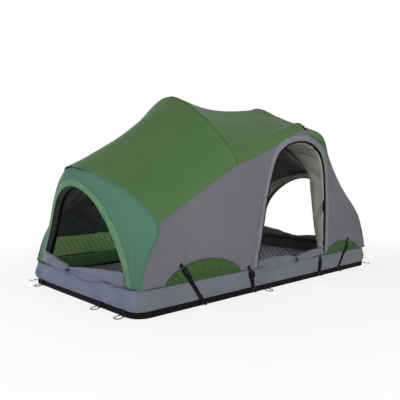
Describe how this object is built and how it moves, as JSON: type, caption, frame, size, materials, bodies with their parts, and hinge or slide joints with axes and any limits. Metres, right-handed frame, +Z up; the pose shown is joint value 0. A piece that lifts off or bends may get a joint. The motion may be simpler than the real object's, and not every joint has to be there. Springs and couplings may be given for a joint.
{
  "type": "truck bed tent",
  "caption": "Two-hoop truck bed tent: tub floor with skirt, sheet fly and inner tent over bent poles, open arched doors, quilted mattress, strap hooks and anchor rings.",
  "frame": {"origin": "on the ground under the middle of the tent", "axes": "+X along the tent towards the end with the taller doorway, -Y towards the side with the side door, +Z up"},
  "size_m": [2.4094, 1.3434, 1.2649],
  "materials": {
    "floor": "coated woven",
    "skirt": "woven",
    "door": "woven",
    "mattress": "quilted",
    "roof": "woven, water-repellent",
    "side": "woven, water-repellent",
    "end": "woven, water-repellent",
    "vent": "ruched mesh-backed",
    "inner": "fine woven",
    "pole": "anodised",
    "plastic": "moulded",
    "webbing": "woven webbing",
    "wire": "black coated"
  },
  "bodies": {
    "tent": {"base_tub": "floor", "skirt": "skirt", "side_door": "skirt", "end_door_left": "door", "end_door_right": "door", "mattress": "mattress", "fly_roof_left": "roof", "fly_roof_middle": "roof", "fly_roof_right": "roof", "fly_side_near": "side", "fly_side_far": "side", "fly_end_left": "end", "fly_end_right": "end", "vent_near_left": "vent", "vent_near_right": "vent", "vent_far_left": "vent", "vent_far_right": "vent", "inner_ceiling": "inner", "inner_wall_near_left": "inner", "inner_wall_near_right": "inner", "inner_wall_far": "inner", "inner_wall_left": "inner", "inner_wall_right": "inner", "hoop_pole_left": "pole", "hoop_pole_right": "pole", "end_pole_left": "pole", "end_pole_right": "pole", "brow_pole": "pole", "clip_crown_left": "plastic", "clip_crown_right": "plastic", "clip_end_left": "plastic", "clip_end_right": "plastic"},
    "strap_near_1": {"strap_near_1": "webbing", "hook_near_1": "plastic"},
    "strap_near_2": {"strap_near_2": "webbing", "hook_near_2": "plastic"},
    "strap_near_3": {"strap_near_3": "webbing", "hook_near_3": "plastic"},
    "strap_near_4": {"strap_near_4": "webbing", "hook_near_4": "plastic"},
    "strap_far_1": {"strap_far_1": "webbing", "hook_far_1": "plastic"},
    "strap_far_2": {"strap_far_2": "webbing", "hook_far_2": "plastic"},
    "strap_far_3": {"strap_far_3": "webbing", "hook_far_3": "plastic"},
    "strap_far_4": {"strap_far_4": "webbing", "hook_far_4": "plastic"},
    "ring_left_1": {"ring_left_1": "wire"},
    "ring_left_2": {"ring_left_2": "wire"},
    "ring_left_3": {"ring_left_3": "wire"},
    "ring_right_1": {"ring_right_1": "wire"},
    "ring_right_2": {"ring_right_2": "wire"},
    "ring_right_3": {"ring_right_3": "wire"},
    "ring_near": {"ring_near": "wire"},
    "ring_far": {"ring_far": "wire"},
    "corner_hook_left": {"corner_hook_left": "webbing"},
    "corner_hook_right": {"corner_hook_right": "webbing"},
    "zip_slider": {"zip_slider": "plastic"}
  },
  "joints": [
    {"name": "strap_near_1_swing", "type": "hinge", "parent": "tent", "child": "strap_near_1", "pos_m": [-0.831, -0.6131, 0.222], "axis": [-1, 0, 0], "range_deg": [0, 70]},
    {"name": "strap_near_2_swing", "type": "hinge", "parent": "tent", "child": "strap_near_2", "pos_m": [-0.293, -0.6153, 0.138], "axis": [-1, 0, 0], "range_deg": [0, 70]},
    {"name": "strap_near_3_swing", "type": "hinge", "parent": "tent", "child": "strap_near_3", "pos_m": [0.475, -0.6153, 0.128], "axis": [-1, 0, 0], "range_deg": [0, 70]},
    {"name": "strap_near_4_swing", "type": "hinge", "parent": "tent", "child": "strap_near_4", "pos_m": [0.846, -0.6131, 0.213], "axis": [-1, 0, 0], "range_deg": [0, 70]},
    {"name": "strap_far_1_swing", "type": "hinge", "parent": "tent", "child": "strap_far_1", "pos_m": [0.831, 0.6131, 0.222], "axis": [1, 0, 0], "range_deg": [0, 70]},
    {"name": "strap_far_2_swing", "type": "hinge", "parent": "tent", "child": "strap_far_2", "pos_m": [0.293, 0.6153, 0.138], "axis": [1, 0, 0], "range_deg": [0, 70]},
    {"name": "strap_far_3_swing", "type": "hinge", "parent": "tent", "child": "strap_far_3", "pos_m": [-0.475, 0.6153, 0.128], "axis": [1, 0, 0], "range_deg": [0, 70]},
    {"name": "strap_far_4_swing", "type": "hinge", "parent": "tent", "child": "strap_far_4", "pos_m": [-0.846, 0.6131, 0.213], "axis": [1, 0, 0], "range_deg": [0, 70]},
    {"name": "ring_left_1_swing", "type": "hinge", "parent": "tent", "child": "ring_left_1", "pos_m": [-1.1505, -0.5, 0.0075], "axis": [0, 1, 0], "range_deg": [0, 90]},
    {"name": "ring_left_2_swing", "type": "hinge", "parent": "tent", "child": "ring_left_2", "pos_m": [-1.1505, -0.265, 0.0075], "axis": [0, 1, 0], "range_deg": [0, 90]},
    {"name": "ring_left_3_swing", "type": "hinge", "parent": "tent", "child": "ring_left_3", "pos_m": [-1.1505, 0.47, 0.0075], "axis": [0, 1, 0], "range_deg": [0, 90]},
    {"name": "ring_right_1_swing", "type": "hinge", "parent": "tent", "child": "ring_right_1", "pos_m": [1.1505, 0.5, 0.0075], "axis": [0, -1, 0], "range_deg": [0, 90]},
    {"name": "ring_right_2_swing", "type": "hinge", "parent": "tent", "child": "ring_right_2", "pos_m": [1.1505, 0.265, 0.0075], "axis": [0, -1, 0], "range_deg": [0, 90]},
    {"name": "ring_right_3_swing", "type": "hinge", "parent": "tent", "child": "ring_right_3", "pos_m": [1.1505, -0.47, 0.0075], "axis": [0, -1, 0], "range_deg": [0, 90]},
    {"name": "ring_near_swing", "type": "hinge", "parent": "tent", "child": "ring_near", "pos_m": [-0.15, -0.6175, 0.0075], "axis": [-1, 0, 0], "range_deg": [0, 90]},
    {"name": "ring_far_swing", "type": "hinge", "parent": "tent", "child": "ring_far", "pos_m": [0.15, 0.6175, 0.0075], "axis": [1, 0, 0], "range_deg": [0, 90]},
    {"name": "corner_hook_left_swing", "type": "hinge", "parent": "tent", "child": "corner_hook_left", "pos_m": [-1.11775, 0.58475, 0.018], "axis": [0.7071, 0.7071, 0], "range_deg": [0, 30]},
    {"name": "corner_hook_right_swing", "type": "hinge", "parent": "tent", "child": "corner_hook_right", "pos_m": [1.11775, -0.58475, 0.018], "axis": [-0.7071, -0.7071, 0], "range_deg": [0, 30]},
    {"name": "zip_slide", "type": "slide", "parent": "tent", "child": "zip_slider", "axis": [0.1961, 0, 0.9806], "range_m": [0, 0.1]}
  ]
}
